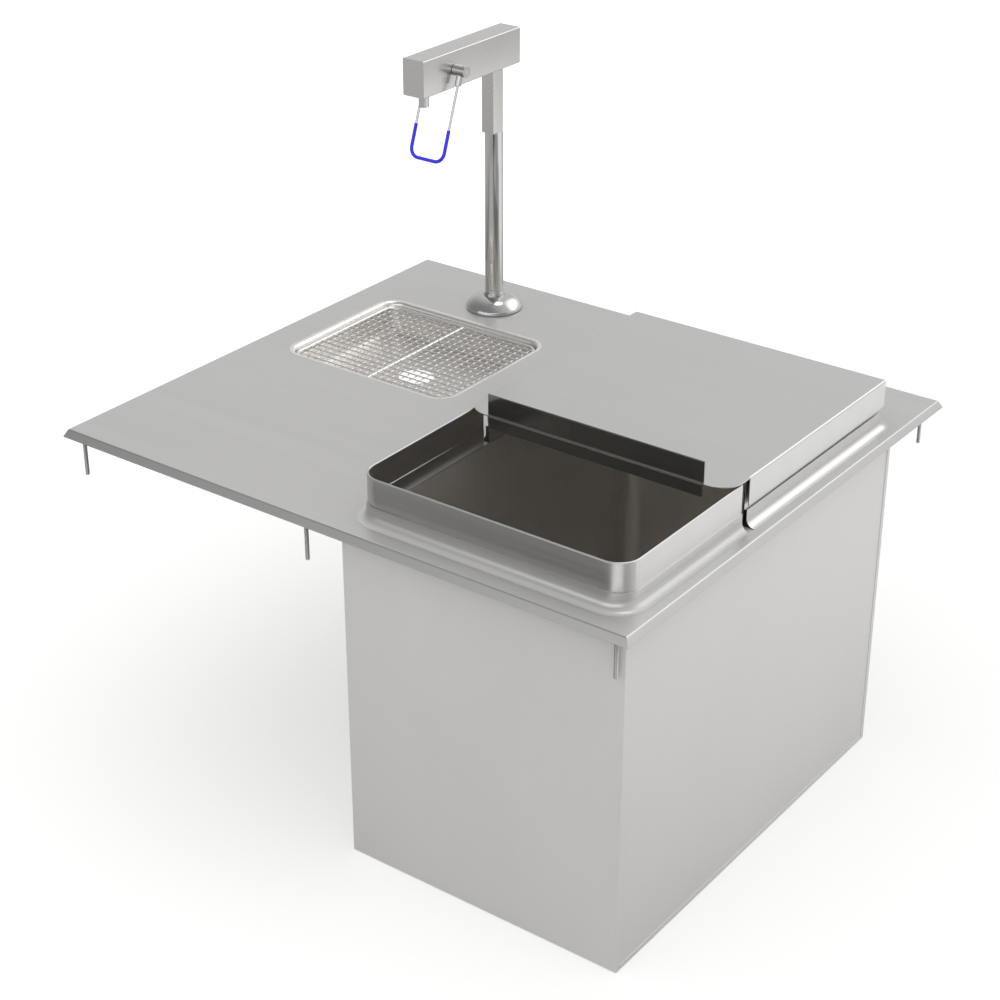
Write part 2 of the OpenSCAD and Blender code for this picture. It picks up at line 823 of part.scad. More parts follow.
// Threaded coupling under the sump, flush with the jacket's underside
module bin_drain_coupling() {
    color(brass)
        translate([bin_x, mouth_y, 0])
            difference() {
                cylinder(h = sump_z, d = drain_coupling_d);
                translate([0, 0, -cut])
                    cylinder(h = sump_z + 2 * cut, d = drain_bore_d);
            }
}

// Loose perforated plate in the sump, with a knob to lift it by
module bin_strainer() {
    plate_d = sump_d - 2 * strainer_play;
    outer_ring_d = (strainer_ring_d + plate_d) / 2;
    color(satin)
        translate([bin_x, mouth_y, sump_z + liner_sheet]) {
            difference() {
                cylinder(h = strainer_sheet, d = plate_d);
                for (ring = [[strainer_ring_d, strainer_inner_n], [outer_ring_d, strainer_outer_n]],
                        i = [0 : ring[1] - 1])
                    rotate([0, 0, 360 * i / ring[1]])
                        translate([ring[0] / 2, 0, -cut])
                            cylinder(h = strainer_sheet + 2 * cut, d = strainer_hole_d, $fn = 24);
            }
            translate([0, 0, strainer_sheet])
                cylinder(h = strainer_knob_h, d = strainer_knob_d);
        }
}

// Sliding lid, shown open: top, folded sides, hemmed nose and front flange
module lid_cover() {
    flanged_d = lid_d - lid_flange_start;
    color(brushed)
        translate([bin_x, lid_open_y, lid_top]) {
            translate([0, 0, -lid_sheet])
                linear_extrude(lid_sheet) {
                    intersection() {
                        front_round_rect(coaming_w, lid_d, coaming_r);
                        translate([-coaming_w / 2, 0])
                            square([coaming_w, lid_flange_start]);
                    }
                    translate([-coaming_w / 2 + lid_bend_r, coaming_r])
                        square([coaming_w - 2 * lid_bend_r, lid_d - coaming_r]);
                }
            for (side = [0, 1])
                mirror([side, 0, 0])
                    translate([coaming_w / 2, lid_d, 0])
                        rotate([90, 0, 0])
                            linear_extrude(flanged_d) {
                                translate([-lid_bend_r, -lid_bend_r])
                                    quarter_bend(lid_bend_r, lid_bend_r - lid_sheet, 1, 1);
                                translate([-lid_sheet, -lid_side_drop])
                                    square([lid_sheet, lid_side_drop - lid_bend_r]);
                            }
            translate([-lid_front_w / 2, front_flange_y, -lid_nose_d / 2])
                rotate([0, 90, 0])
                    cylinder(h = lid_front_w, d = lid_nose_d, $fn = 36);
            translate([-lid_front_w / 2, front_flange_y, -lid_front_drop])
                cube([lid_front_w, lid_sheet, lid_front_drop - lid_sheet / 2]);
        }
}

// Upright strip along the lid's front edge that the hand pushes, with a rolled top
module lid_pull() {
    color(brushed)
        translate([bin_x - pull_w / 2, lid_open_y + front_flange_y, lid_top]) {
            cube([pull_w, pull_sheet, pull_h - pull_sheet / 2]);
            translate([0, pull_sheet / 2, pull_h - pull_sheet / 2])
                rotate([0, 90, 0])
                    cylinder(h = pull_w, d = pull_sheet, $fn = 36);
        }
}

// Slippery strips stuck under the lid, chamfered to clear the folds of its sides, which ride on
// the coaming and the hood
module lid_glides() {
    outer_x = coaming_w / 2 - rim_inset;
    glide_h = lid_lift - glide_play;
    chamfer = lid_bend_r - lid_sheet;
    color(nylon_white)
        for (side = [0, 1])
            translate([bin_x, lid_open_y + lid_d, rim_top + glide_play])
                mirror([side, 0, 0])
                    translate([outer_x - glide_w, 0, 0])
                        rotate([90, 0, 0])
                            linear_extrude(lid_d - lid_flange_start)
                                polygon([
                                    [0, 0],
                                    [glide_w, 0],
                                    [glide_w, glide_h - chamfer],
                                    [glide_w - chamfer, glide_h],
                                    [0, glide_h]
                                ]);
}

// Drawn pan welded into the worktop, with a rolled edge and a ledge for the grate
module drain_pan() {
    color(polished)
        translate([pan_x, pan_y, deck_top]) {
            ring_sweep(pan_w, pan_d, pan_r)
                pan_profile();
            translate([0, 0, -pan_depth - pan_sheet])
                linear_extrude(pan_sheet)
                    difference() {
                        round_rect(pan_w - 2 * pan_floor_in, pan_d - 2 * pan_floor_in, pan_r - pan_floor_in);
                        circle(d = pan_hole_d);
                    }
        }
}

// Section of the pan's side: the welded outline lies on x = 0
module pan_profile() {
    translate([-pan_margin, -pan_sheet])
        square([pan_margin, pan_sheet]);
    translate([-pan_margin, -pan_roll_r])
        quarter_bend(pan_roll_r, pan_roll_r - pan_sheet, -1, 1);
    translate([-pan_wall_in, -pan_ledge_depth - pan_sheet])
        square([pan_sheet, pan_ledge_depth + pan_sheet - pan_roll_r]);
    translate([-pan_ledge_in, -pan_ledge_depth - pan_sheet])
        square([pan_ledge_w + pan_sheet, pan_sheet]);
    translate([-pan_ledge_in, -pan_depth + pan_floor_r])
        square([pan_sheet, pan_depth - pan_floor_r - pan_ledge_depth]);
    translate([-pan_floor_in, -pan_depth + pan_floor_r])
        quarter_bend(pan_floor_r + pan_sheet, pan_floor_r, 1, -1);
}

// Border wire of the lift-out grate
module grate_border() {
    color(polished)
        translate([pan_x, pan_y, grate_z])
            ring_sweep(grate_w, grate_d, grate_r)
                translate([-grate_border_d / 2, 0])
                    circle(d = grate_border_d);
}

// Thick rod across the middle of the grate, front to back, let in level with the wires
module grate_rod() {
    color(polished)
        translate([pan_x, pan_y + rod_half, grate_z])
            rotate([90, 0, 0])
                cylinder(h = 2 * rod_half, d = grate_rod_d, $fn = 36);
}

// Half the length of a wire that lies off from the middle of a grate w wide and d deep
function half_span(w, d, off) =
    let (inner_r = grate_r - grate_border_d + wire_sink,
        past = max(0, abs(off) - (d / 2 - grate_r)))
    w / 2 - grate_r + sqrt(inner_r * inner_r - past * past);

// Fine wires along X across a grate w wide and d deep, from first to the last that fits
module wire_row(w, d, first) {
    last = floor((d / 2 - grate_border_d - grate_wire_d) / grate_pitch);
    for (i = [first : last], side = i == 0 ? [0] : [0, 1])
        mirror([0, side, 0])
            let (half = half_span(w, d, i * grate_pitch))
                translate([-half, i * grate_pitch, 0])
                    rotate([0, 90, 0])
                        cylinder(h = 2 * half, d = grate_wire_d, $fn = 24);
}

// Fine wires from side to side, on top of the cross wires
module grate_long_wires() {
    color(polished)
        translate([pan_x, pan_y, long_wire_z])
            wire_row(grate_w, grate_d, 0);
}

// Fine wires from front to back; the thick rod takes the place of the middle one
module grate_cross_wires() {
    color(polished)
        translate([pan_x, pan_y, cross_wire_z])
            rotate([0, 0, 90])
                wire_row(grate_d, grate_w, 1);
}

// Rubber ring between the flange and the worktop
module filler_gasket() {
    color(rubber_black)
        translate([pan_x, filler_y, deck_top])
            difference() {
                cylinder(h = gasket_t, d = flange_d - 2 * gasket_setback);
                translate([0, 0, -cut])
                    cylinder(h = gasket_t + 2 * cut, d = shank_d + 2 * shank_play);
            }
}

// Domed flange at the pillar's foot, threaded for the pillar above and the shank below
module filler_flange() {
    flange_r = flange_d / 2;
    neck_r = flange_neck_d / 2;
    dome_h = flange_h - flange_neck_h;
    rise = dome_h - flange_rim_h;
    dome_r = (pow(flange_r - neck_r, 2) + rise * rise) / (2 * rise);
    color(polished)
        translate([pan_x, filler_y, flange_z])
            rotate_extrude()
                difference() {
                    union() {
                        intersection() {
                            translate([neck_r, dome_h - dome_r])
                                circle(dome_r);
                            square([flange_r, dome_h]);
                        }
                        square([neck_r, flange_h]);
                    }
                    translate([0, -cut])
                        square([water_bore_d / 2, flange_h + 2 * cut]);
                    translate([0, flange_h - pillar_seat])
                        square([pillar_d / 2, pillar_seat + cut]);
                    translate([0, -cut])
                        square([shank_d / 2, shank_seat + cut]);
                }
}

// Tube that carries the head and the water
module filler_pillar() {
    color(polished)
        translate([pan_x, filler_y, socket_floor_z])
            difference() {
                cylinder(h = neck_z - socket_floor_z, d = pillar_d);
                translate([0, 0, -cut])
                    cylinder(h = neck_z - socket_floor_z + 2 * cut, d = spigot_d + 2 * spigot_play);
            }
}

// Rectangular neck on the pillar, with a spigot down into the pillar and one up into the head
module filler_neck() {
    color(brushed)
        translate([pan_x, filler_y, 0])
            difference() {
                union() {
                    translate([0, -neck_shift, neck_z])
                        linear_extrude(neck_h)
                            round_rect(neck_w, neck_d, neck_edge_r);
                    translate([0, 0, neck_z - spigot_l])
                        cylinder(h = spigot_l + neck_h + head_wall, d = spigot_d);
                }
                translate([0, 0, neck_z - spigot_l - cut])
                    cylinder(h = spigot_l + neck_h + head_wall + 2 * cut, d = water_bore_d);
            }
}

// Square-section head: a box closed at the front and open at the rear
module filler_head() {
    color(brushed)
        translate([pan_x, 0, head_z])
            difference() {
                translate([0, head_rear_y, head_h / 2])
                    rotate([90, 0, 0])
                        linear_extrude(head_l)
                            round_rect(head_w, head_h, head_edge_r);
                translate([-head_w / 2 + head_wall, head_front_y + head_wall, head_wall])
                    cube([head_w - 2 * head_wall, head_l - head_wall + cut, head_h - 2 * head_wall]);
                translate([0, filler_y, -cut])
                    cylinder(h = head_wall + 2 * cut, d = spigot_d + 2 * spigot_play);
                translate([0, nozzle_y, -cut])
                    cylinder(h = head_wall + 2 * cut, d = nozzle_thread_d + 2 * spigot_play);
                translate([-head_w / 2 - cut, pivot_y, pivot_rise])
                    rotate([0, 90, 0])
                        cylinder(h = head_w + 2 * cut, d = shaft_d + 2 * shaft_play);
            }
}

// Plug that closes the rear end of the head
module head_end_plug() {
    color(brushed)
        translate([pan_x, head_rear_y - plug_l / 2, head_z + head_h / 2])
            cube([head_w - 2 * (head_wall + valve_play), plug_l,
                head_h - 2 * (head_wall + valve_play)], center = true);
}

// Nozzle screwed up into the head
module filler_nozzle() {
    color(polished)
        translate([pan_x, nozzle_y, head_z - nozzle_l])
            difference() {
                union() {
                    cylinder(h = nozzle_l, d = nozzle_d);
                    cylinder(h = nozzle_l + head_wall, d = nozzle_thread_d);
                }
                translate([0, 0, -cut])
                    cylinder(h = nozzle_l + head_wall + 2 * cut, d = nozzle_bore_d);
            }
}

// Valve block on the floor of the head, bored for the stem
module valve_block() {
    block_w = head_w - 2 * (head_wall + valve_play);
    bore_l = stem_y + stem_l - valve_y + finger_t;
    color(brass)
        translate([pan_x, valve_y, 0])
            difference() {
                translate([-block_w / 2, 0, cavity_z])
                    cube([block_w, valve_l, valve_h]);
                translate([0, -cut, stem_z])
                    rotate([-90, 0, 0])
                        cylinder(h = bore_l + cut, d = stem_d + 2 * stem_play);
            }
}

// Valve stem with a round tip that the cam pushes
module valve_stem() {
    color(satin)
        translate([pan_x, stem_y + stem_d / 2, stem_z]) {
            sphere(d = stem_d);
            rotate([-90, 0, 0])
                cylinder(h = stem_l - stem_d / 2, d = stem_d);
        }
}

// Shaft through the head that the lever's hubs are fixed to
module lever_shaft() {
    half = hub_x + hub_l;
    color(satin)
        translate([pan_x - half, pivot_y, pivot_z])
            rotate([0, 90, 0])
                cylinder(h = 2 * half, d = shaft_d);
}

// Cam on the shaft inside the head, with a finger that pushes the valve stem
module lever_cam() {
    color(satin)
        translate([pan_x, pivot_y, pivot_z])
            rotate([90, 0, 90])
                linear_extrude(cam_w, center = true)
                    difference() {
                        union() {
                            circle(d = cam_boss_d);
                            translate([-finger_t / 2, -finger_l])
                                square([finger_t, finger_l]);
                        }
                        circle(d = shaft_d);
                    }
}

// Places its children in the lever's own leaning frame, with the shaft at the origin
module at_pivot() {
    translate([pan_x, pivot_y, pivot_z])
        rotate([-lever_lean, 0, 0])
            children();
}

// Hubs on both ends of the shaft, each with a tail that holds the wire
module lever_hubs() {
    color(polished)
        at_pivot()
            for (side = [0, 1])
                mirror([side, 0, 0])
                    difference() {
                        union() {
                            translate([hub_x, 0, 0])
                                rotate([0, 90, 0])
                                    cylinder(h = hub_l, d = hub_d);
                            translate([arm_x, 0, -tail_l])
                                cylinder(h = tail_l, d = tail_d);
                        }
                        translate([hub_x - cut, 0, 0])
                            rotate([0, 90, 0])
                                cylinder(h = hub_l + 2 * cut, d = shaft_d);
                        translate([arm_x, 0, -tail_l - cut])
                            cylinder(h = wire_seat + cut, d = wire_d);
                    }
}

// U-shaped loop of diameter d on the lever's centre line, from start below the shaft
module lever_loop(d, start) {
    floor_l = lever_l - wire_d / 2;
    arm_l = floor_l - lever_bend_r;
    for (side = [0, 1])
        mirror([side, 0, 0]) {
            translate([arm_x, 0, -arm_l])
                cylinder(h = arm_l - start, d = d);
            translate([arm_x - lever_bend_r, 0, -arm_l])
                rotate([-90, 0, 0])
                    rotate_extrude(angle = 90)
                        translate([lever_bend_r, 0])
                            circle(d = d);
        }
    translate([lever_bend_r - arm_x, 0, -floor_l])
        rotate([0, 90, 0])
            cylinder(h = 2 * (arm_x - lever_bend_r), d = d);
}

// Bent wire that a glass is pushed against
module push_lever() {
    color(satin)
        at_pivot()
            lever_loop(wire_d, tail_l - wire_seat);
}

// Coloured sleeve on the lower part of the wire
module lever_sleeve() {
    color(lever_blue)
        at_pivot()
            difference() {
                lever_loop(wire_d + 2 * sleeve_wall, sleeve_start);
                lever_loop(wire_d, sleeve_start - cut);
            }
}

// Threaded shank that brings the water up through the worktop, with a smaller lower end
module supply_shank() {
    length = shank_l + shank_top_z - deck_top;
    color(brass)
        translate([pan_x, filler_y, deck_top - shank_l])
            difference() {
                union() {
                    cylinder(h = length, d = inlet_d);
                    translate([0, 0, inlet_l])
                        cylinder(h = length - inlet_l, d = shank_d);
                }
                translate([0, 0, -cut])
                    cylinder(h = length + 2 * cut, d = shank_bore_d);
            }
}

// Plate that spreads the locknut's load under the worktop
module backing_plate() {
    color(satin)
        translate([pan_x, filler_y, deck_under - backing_t])
            linear_extrude(backing_t)
                difference() {
                    square(backing_w, center = true);
                    circle(d = shank_d + 2 * shank_play);
                }
}

// Hexagonal nut that clamps the filler to the worktop
module shank_locknut() {
    color(brass)
        translate([pan_x, filler_y, deck_under - backing_t - locknut_t])
            difference() {
                cylinder(h = locknut_t, d = locknut_af / cos(30), $fn = 6);
                translate([0, 0, -cut])
                    cylinder(h = locknut_t + 2 * cut, d = shank_d + 2 * nut_play);
            }
}

worktop();
worktop_channels();
hold_down_studs();
coaming_base();
coaming_rim();
rear_hood();
bin_liner();
foam_insulation();
front_panel();
rear_panel();
left_panel();
right_panel();
bottom_panel();
bin_drain_coupling();
bin_strainer();
lid_cover();
lid_pull();
lid_glides();
drain_pan();
grate_border();
grate_rod();
grate_long_wires();
grate_cross_wires();
filler_gasket();
filler_flange();
filler_pillar();
filler_neck();
filler_head();
head_end_plug();
filler_nozzle();
valve_block();
valve_stem();
lever_shaft();
lever_cam();
lever_hubs();
push_lever();
lever_sleeve();
supply_shank();
backing_plate();
shank_locknut();
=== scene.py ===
# Drop-in ice bin: a stainless worktop with an insulated bin and its sliding lid, a drain pan and a
# glass filler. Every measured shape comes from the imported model; this file adds finishes, fine
# detail and light.
import math

import bpy
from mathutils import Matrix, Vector


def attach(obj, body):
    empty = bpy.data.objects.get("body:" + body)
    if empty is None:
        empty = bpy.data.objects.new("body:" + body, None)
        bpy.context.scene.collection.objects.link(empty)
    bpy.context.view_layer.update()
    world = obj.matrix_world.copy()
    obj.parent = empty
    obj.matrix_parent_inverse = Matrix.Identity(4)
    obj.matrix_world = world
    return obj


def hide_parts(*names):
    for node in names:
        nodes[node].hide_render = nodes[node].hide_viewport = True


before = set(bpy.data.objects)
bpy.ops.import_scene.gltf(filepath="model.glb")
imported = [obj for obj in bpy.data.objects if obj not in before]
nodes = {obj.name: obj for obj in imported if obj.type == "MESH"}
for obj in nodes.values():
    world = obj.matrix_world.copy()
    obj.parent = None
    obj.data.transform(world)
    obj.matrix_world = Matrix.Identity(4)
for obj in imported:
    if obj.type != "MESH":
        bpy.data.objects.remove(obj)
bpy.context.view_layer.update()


# Worktop: 1.5 mm stainless sheet, folded and hemmed along its edges. The sheet comes ground with a
# long grain from side to side. Scouring has dulled the flat top to a pale satin, in faint clouds.
class Value:
    """One output of a material's node; arithmetic on it adds Math nodes."""

    def __init__(self, finish, socket):
        self.finish = finish
        self.socket = socket

    def _math(self, operation, *operands):
        return self.finish.node("Math", dict(enumerate(operands)), operation=operation)

    def __add__(self, other):
        return self._math("ADD", self, other)

    def __sub__(self, other):
        return self._math("SUBTRACT", self, other)

    def __rsub__(self, other):
        return self._math("SUBTRACT", other, self)

    def __mul__(self, other):
        return self._math("MULTIPLY", self, other)

    def __abs__(self):
        return self._math("ABSOLUTE", self)

    def above(self, level):
        """1 where the value is over the level and 0 elsewhere."""
        return self._math("GREATER_THAN", self, level)

    __radd__ = __add__
    __rmul__ = __mul__


class Finish:
    """A surface finish: one Principled material and the nodes that vary it."""

    def __init__(self, name, **sockets):
        self.material = bpy.data.materials.new(name)
        self.material.use_nodes = True
        self.tree = self.material.node_tree
        self.shader = self.tree.nodes["Principled BSDF"]
        self.vary(**sockets)

    def set(self, node, inputs):
        for key, value in inputs.items():
            if isinstance(value, Value):
                self.tree.links.new(value.socket, node.inputs[key])
            else:
                node.inputs[key].default_value = value

    def node(self, kind, inputs=None, output=0, **settings):
        """Adds a shader node with its settings and inputs, and gives the named output."""
        made = self.tree.nodes.new("ShaderNode" + kind)
        for key, value in settings.items():
            setattr(made, key, value)
        self.set(made, inputs or {})
        return Value(self, made.outputs[output])

    def vary(self, **sockets):
        """Sets or links the shader's sockets, named with _ for a space."""
        self.set(self.shader, {key.replace("_", " "): value for key, value in sockets.items()})

    def along(self, axis):
        """A point's place along an axis, in metres."""
        return self.node("SeparateXYZ", {"Vector": self.node("TexCoord", output="Object")}, output=axis)

    def facing(self, axis):
        """How far a face turns towards an axis, from -1 to 1."""
        return self.node("SeparateXYZ", {"Vector": self.node("TexCoord", output="Normal")}, output=axis)

    def noise(self, cells, detail, roughness=0.5):
        """Noise with this many cells to a metre along x, y and z."""
        place = self.node("TexCoord", output="Object")
        stretched = self.node("Mapping", {"Vector": place, "Scale": cells})
        return self.node("TexNoise", {
            "Vector": stretched, "Scale": 1.0, "Detail": detail, "Roughness": roughness,
        }, output="Fac")

    def blend(self, amount, one, other):
        return self.node("Mix", {"Factor": amount, "A": one, "B": other},
                         output="Result", data_type="RGBA")

    def tint(self, amount, dark, light):
        return self.blend(amount, (*dark, 1), (*light, 1))

    def bump(self, height, strength, distance):
        return self.node("Bump", {"Height": height, "Strength": strength, "Distance": distance},
                         output="Normal")

    def on(self, *names):
        """Gives the finish to CAD pieces."""
        for name in names:
            slots = nodes[name].data.materials
            slots.clear()
            slots.append(self.material)


mostly_facing = 0.7
grain_height = 0.0004


def ground_sheet(name, dark, light, shine, grain_step=0.05, depth=0.06):
    """Stainless sheet ground along its length: grain from side to side, and level round the sides."""
    long_cell, fine_cells = 1.4, 260
    grain_share, streak_share, wiped_share = 0.55, 0.3, 0.15
    steel = Finish(name, Metallic=1.0)
    side_on = abs(steel.facing("X")).above(mostly_facing)
    along_x = steel.noise((long_cell, fine_cells, fine_cells), detail=5.0, roughness=0.65)
    along_y = steel.noise((fine_cells, long_cell, fine_cells), detail=5.0, roughness=0.65)
    grain = along_x + side_on * (along_y - along_x)
    streaks = steel.noise((0.8, 34, 34), detail=3.0)
    wiped = steel.noise((5, 9, 9), detail=3.0, roughness=0.55)
    mixed = grain * grain_share + streaks * streak_share + wiped * wiped_share
    steel.colour = steel.tint(mixed, dark, light)
    steel.vary(
        Base_Color=steel.colour,
        Roughness=shine - grain_step + grain * grain_step * 2 + (wiped - 0.5) * grain_step * 1.5,
        Normal=steel.bump(grain, strength=depth, distance=grain_height),
    )
    return steel


def ease_edges(width, *names):
    """Merges a CAD piece's triangles into smooth faces and breaks its sharp edges by width."""
    for name in names:
        piece = nodes[name]
        faces = piece.data.polygons
        faces.foreach_set("use_smooth", [True] * len(faces))
        if "custom_normal" in piece.data.attributes:
            piece.data.attributes.remove(piece.data.attributes["custom_normal"])
        piece.modifiers.new("join", "WELD").merge_threshold = 1e-5
        flat = piece.modifiers.new("flat", "DECIMATE")
        flat.decimate_type = "DISSOLVE"
        flat.angle_limit = math.radians(0.3)
        edge = piece.modifiers.new("edge", "BEVEL")
        edge.width = width
        edge.segments = 2
        edge.limit_method = "ANGLE"
        edge.angle_limit = math.radians(35)
        edge.harden_normals = True


sheet_edge = 0.0003
level_top, scoured_dull = 0.9, 0.55
worktop_dark, worktop_light = (0.53, 0.525, 0.515), (0.64, 0.635, 0.625)
worktop_steel = ground_sheet("worktop_steel", worktop_dark, worktop_light, shine=0.38)
flat_top = worktop_steel.facing("Z").above(level_top)
worktop_steel.vary(Metallic=1.0 - flat_top * scoured_dull)
worktop_steel.on("worktop")
ease_edges(sheet_edge, "worktop")

# Coaming and rear hood: the raised walls round the bin, folded from the same sheet. A lower band
# with a coved foot is welded to the worktop and rubbed down there to a soft, pale satin, and a
# hemmed upper band sits inside it. The hood's cut front ends are painted near-black as shade.
coaming_dark, coaming_light = (0.59, 0.585, 0.575), (0.71, 0.705, 0.695)
coaming_steel = ground_sheet("coaming_steel", coaming_dark, coaming_light, shine=0.30)
coaming_steel.on("coaming_rim")

hood_front_y = -0.070
cut_end_shade_colour = (0.06, 0.058, 0.055, 1)
hood_steel = ground_sheet("hood_steel", coaming_dark, coaming_light, shine=0.30)
facing_front = (hood_steel.facing("Y") * -1.0).above(mostly_facing)
# Painted shade: the hood's front-facing cut ends are tinted near-black.
shaded_cut_end = facing_front * (1.0 - hood_steel.along("Y").above(hood_front_y))
hood_steel.vary(Base_Color=hood_steel.blend(shaded_cut_end, hood_steel.colour, cut_end_shade_colour))
hood_steel.on("rear_hood")

foot_low_z, foot_high_z = 0.423, 0.431
rubbed_metallic, full_metallic = 0.2, 1.0
foot_dark, foot_light = (0.57, 0.565, 0.555), (0.69, 0.685, 0.675)
foot_steel = ground_sheet("foot_steel", foot_dark, foot_light, shine=0.32)
foot_steel.vary(Metallic=foot_steel.node("MapRange", {
    "Value": foot_steel.along("Z"), "From Min": foot_low_z, "From Max": foot_high_z,
    "To Min": rubbed_metallic, "To Max": full_metallic,
}))
foot_steel.on("coaming_base")
ease_edges(sheet_edge, "coaming_base", "coaming_rim", "rear_hood")

# Sliding lid: one folded sheet with side flanges, a hemmed nose, a short front flange and a welded
# pull, on two black nylon glides. The pull and the front flange mirror the dark bin, and both carry
# painted shade: the pull's steel is painted dark and the flange is darkened below the nose.
front_flange_y, front_flange_z = -0.1085, 0.4768
flange_shade_amount, flange_shade_colour = 0.8, (0.12, 0.117, 0.113, 1)
lid_dark, lid_light = (0.60, 0.60, 0.59), (0.71, 0.71, 0.70)
lid_steel = ground_sheet("lid_steel", lid_dark, lid_light, shine=0.32)
# Painted shade: the front flange's face under the nose is tinted towards near-black.
before_flange = 1.0 - lid_steel.along("Y").above(front_flange_y)
under_nose = 1.0 - lid_steel.along("Z").above(front_flange_z)
flange_shade = before_flange * under_nose * flange_shade_amount
lid_steel.vary(Base_Color=lid_steel.blend(flange_shade, lid_steel.colour, flange_shade_colour))
lid_steel.on("lid_cover")

# Painted shade: the pull's steel gets a dark base colour.
pull_shade_dark, pull_shade_light = (0.26, 0.256, 0.25), (0.34, 0.336, 0.33)
pull_steel = ground_sheet("pull_steel", pull_shade_dark, pull_shade_light, shine=0.14, grain_step=0.03, depth=0.02)
pull_steel.on("lid_pull")
ease_edges(sheet_edge, "lid_cover", "lid_pull")

glide_edge = 0.0003
nylon = Finish("glide_nylon", Specular_IOR_Level=0.4)
scuffs = nylon.noise((90, 6, 90), detail=3.0)
nylon.vary(
    Base_Color=nylon.tint(scuffs, dark=(0.018, 0.018, 0.019), light=(0.05, 0.05, 0.05)),
    Roughness=0.32 + scuffs * 0.2,
)
nylon.on("lid_glides")
ease_edges(glide_edge, "lid_glides")

# Ice bin liner: a welded tank of satin sheet with round corners and a shallow sump. Melting ice
# leaves a faint scale in clouds. The strainer plate lies loose on a ledge in the sump.
tank_edge = 0.0002
liner_steel = Finish("liner_steel", Metallic=0.75)
satin = liner_steel.noise((240, 240, 3), detail=4.0, roughness=0.6)
scale_marks = liner_steel.noise((9, 9, 5), detail=5.0, roughness=0.6)
liner_steel.vary(
    Base_Color=liner_steel.tint(
        satin * 0.5 + scale_marks * 0.5,
        dark=(0.75, 0.717, 0.68), light=(0.88, 0.845, 0.808),
    ),
    Roughness=0.36 + satin * 0.1 + (scale_marks - 0.5) * 0.12,
    Normal=liner_steel.bump(satin, strength=0.05, distance=grain_height),
)
liner_steel.on("bin_liner", "bin_strainer")
ease_edges(tank_edge, "bin_liner", "bin_strainer")

# Jacket: five plain mill-finish panels that close in the foam. The sheet is rolled, not ground,
# so it looks soft and even, with a little cloudiness from handling.
jacket_panels = ("front_panel", "rear_panel", "left_panel", "right_panel", "bottom_panel")
jacket_steel = Finish("jacket_steel", Metallic=0.25)
rolled = jacket_steel.noise((150, 150, 5), detail=4.0, roughness=0.6)
cloud = jacket_steel.noise((4, 4, 3), detail=4.0, roughness=0.55)
jacket_steel.vary(
    Base_Color=jacket_steel.tint(
        rolled * 0.15 + cloud * 0.85,
        dark=(0.79, 0.778, 0.765), light=(0.87, 0.858, 0.845),
    ),
    Roughness=0.50 + (cloud - 0.5) * 0.16 + (rolled - 0.5) * 0.06,
    Normal=jacket_steel.bump(rolled, strength=0.015, distance=0.0003),
)
jacket_steel.on(*jacket_panels)
ease_edges(sheet_edge, *jacket_panels)

foam = Finish("bin_foam", Roughness=0.95)
cells = foam.noise((400, 400, 400), detail=3.0)
foam.vary(
    Base_Color=foam.tint(cells, dark=(0.80, 0.76, 0.62), light=(0.92, 0.89, 0.78)),
    Normal=foam.bump(cells, strength=0.5, distance=0.0006),
)
foam.on("foam_insulation")

# Drain pan: pressed from one sheet and polished before it is welded in, with a rolled edge and a
# ledge for the grate. Water leaves faint marks on its floor.
pan_edge = 0.0002
pan_steel = Finish("pan_steel", Metallic=1.0)
drawn = pan_steel.noise((60, 60, 60), detail=4.0, roughness=0.6)
water_marks = pan_steel.noise((22, 22, 22), detail=6.0, roughness=0.7)
pan_steel.vary(
    Base_Color=pan_steel.tint(
        drawn * 0.4 + water_marks * 0.6,
        dark=(0.84, 0.815, 0.79), light=(0.94, 0.915, 0.89),
    ),
    Roughness=0.2 + drawn * 0.06 + water_marks * 0.1,
    Normal=pan_steel.bump(drawn, strength=0.04, distance=0.0006),
)
pan_steel.on("drain_pan")
ease_edges(pan_edge, "drain_pan")

# Grate: welded wires in two layers inside a border wire, electropolished, so that every wire
# carries a bright line and a dark line.
grate_wires = ("grate_border", "grate_rod", "grate_long_wires", "grate_cross_wires")
wire_edge = 0.0001
wire_steel = Finish("wire_steel", Metallic=1.0)
pits = wire_steel.noise((120, 120, 120), detail=3.0)
wire_steel.vary(
    Base_Color=wire_steel.tint(pits, dark=(0.80, 0.785, 0.765), light=(0.90, 0.885, 0.865)),
    Roughness=0.18 + pits * 0.1,
)
wire_steel.on(*grate_wires)
ease_edges(wire_edge, *grate_wires)

# Glass filler: polished flange, pillar and nozzle, and a satin square neck and head, sealed to the
# worktop by a rubber gasket. The valve block and its stem sit inside the head.
turned_edge, pillar_edge = 0.0004, 0.0002
polished = Finish("polished_steel", Metallic=1.0)
film = polished.noise((26, 26, 26), detail=4.0, roughness=0.6)
polished.vary(
    Base_Color=polished.tint(film, dark=(0.53, 0.525, 0.515), light=(0.65, 0.645, 0.635)),
    Roughness=0.07 + film * 0.07,
)
polished.on("filler_flange", "filler_pillar", "filler_nozzle", "lever_hubs")
ease_edges(turned_edge, "filler_flange", "filler_nozzle", "lever_hubs")
ease_edges(pillar_edge, "filler_pillar")

head_steel = Finish("head_steel", Metallic=1.0)
rubbed_down = head_steel.noise((500, 12, 500), detail=3.0)
handled = head_steel.noise((14, 14, 14), detail=3.0)
head_steel.vary(
    Base_Color=head_steel.tint(
        rubbed_down * 0.15 + handled * 0.85,
        dark=(0.64, 0.63, 0.615), light=(0.70, 0.69, 0.675),
    ),
    Roughness=0.26 + (handled - 0.5) * 0.08 + rubbed_down * 0.04,
)
head_steel.on("filler_neck", "filler_head", "head_end_plug")
ease_edges(sheet_edge, "filler_neck", "filler_head", "head_end_plug")

